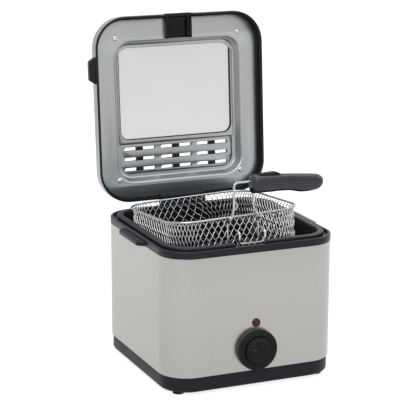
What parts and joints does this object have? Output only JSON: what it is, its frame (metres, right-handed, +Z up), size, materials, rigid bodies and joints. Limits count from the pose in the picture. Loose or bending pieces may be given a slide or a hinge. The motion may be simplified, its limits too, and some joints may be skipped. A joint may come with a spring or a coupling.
{
  "type": "deep fryer",
  "caption": "Compact deep fryer: brushed steel housing, window lid open on its hinge, wire basket hung in the pot with a folding side grip, thermostat knob and lamp.",
  "frame": {"origin": "middle of the whole open fryer's plan, on the worktop under its feet", "axes": "+Z up, +X to the right as seen from the front, -Y towards the front with the knob"},
  "size_m": [0.2265, 0.2569, 0.3931],
  "materials": {
    "black_moulding": "fine satin moulding",
    "foot_rubber": "dull",
    "plain_steel": "plain drawn steel",
    "brushed_housing": "brushed along the width",
    "brushed_lid": "brushed along the width",
    "pot_coating": "dark non-stick coating, half gloss",
    "element_sheath": "oxidised sheath",
    "cast_spreader": "as cast",
    "shield_sheet": "mill finish",
    "white_ceramic": "ceramic and phenolic bodies",
    "copper_bulb": "copper",
    "red_lead": "glass-sleeved lead",
    "gland_rubber": "dull",
    "dial_plate": "dark printed ring",
    "lamp_red": "clear dark red lens",
    "lamp_body": "plain",
    "seal_rubber": "dull",
    "lid_lining": "pressed, satin",
    "window_glass": "clear",
    "bright_screw": "bright",
    "knob_gloss": "half gloss",
    "basket_wire": "bright plated wire",
    "basket_net": "woven bright wire",
    "grip_black": "satin heat-proof moulding",
    "slider_black": "satin"
  },
  "bodies": {
    "housing": {"base_tray": "black_moulding", "rubber_feet": "foot_rubber", "foot_screws": "plain_steel", "steel_housing": "brushed_housing", "rim_collar": "black_moulding", "oil_pot": "pot_coating", "pot_posts": "plain_steel", "heating_element": "element_sheath", "heat_spreader": "cast_spreader", "element_nut": "plain_steel", "heat_shield": "shield_sheet", "thermal_cutout": "white_ceramic", "thermostat_body": "white_ceramic", "temperature_probe": "copper_bulb", "terminal_block": "white_ceramic", "wiring": "red_lead", "cord_gland": "gland_rubber", "dial_ring": "dial_plate", "lamp_lens": "lamp_red", "lamp_holder": "lamp_body", "hinge_bracket": "black_moulding", "hinge_pin": "plain_steel"},
    "lid": {"lid_shell": "brushed_lid", "lid_frame": "black_moulding", "lid_seal": "seal_rubber", "lid_inner_plate": "lid_lining", "lid_window": "window_glass", "window_gasket": "seal_rubber", "vent_grille": "black_moulding", "lid_latch": "black_moulding", "lid_side_tab": "black_moulding", "lid_hinge_arm": "black_moulding", "lid_screws": "bright_screw"},
    "knob": {"control_knob": "knob_gloss", "thermostat_shaft": "plain_steel"},
    "basket": {"basket_rim": "basket_wire", "basket_mesh": "basket_net", "basket_hook": "basket_wire", "handle_brackets": "basket_wire"},
    "handle": {"handle_wire": "basket_wire", "grip_upper": "grip_black", "grip_lower": "grip_black", "grip_flange": "grip_black", "grip_rivets": "plain_steel"},
    "slider": {"release_slider": "slider_black"}
  },
  "joints": [
    {"name": "lid_hinge", "type": "hinge", "parent": "housing", "child": "lid", "pos_m": [0, 0.095, 0.1754], "axis": [1, 0, 0], "range_deg": [0, 94.2]},
    {"name": "basket_lower", "type": "slide", "parent": "housing", "child": "basket", "axis": [0, 0, -1], "range_m": [0, 0.0265]},
    {"name": "handle_fold", "type": "hinge", "parent": "basket", "child": "handle", "pos_m": [0, -0.09935, 0.1941], "axis": [1, 0, 0], "range_deg": [0, 90]},
    {"name": "knob_turn", "type": "hinge", "parent": "housing", "child": "knob", "pos_m": [0, -0.12, 0.0465], "axis": [0, 1, 0], "range_deg": [0, 270]},
    {"name": "slider_release", "type": "slide", "parent": "handle", "child": "slider", "axis": [0.9986, 0, -0.0523], "range_m": [0, 0.006]}
  ],
  "couplings": [
    {"joint": "basket_lower", "follows": "lid_hinge", "m_per_rad": 0.016118},
    {"joint": "handle_fold", "follows": "lid_hinge", "ratio": 0.95541}
  ]
}
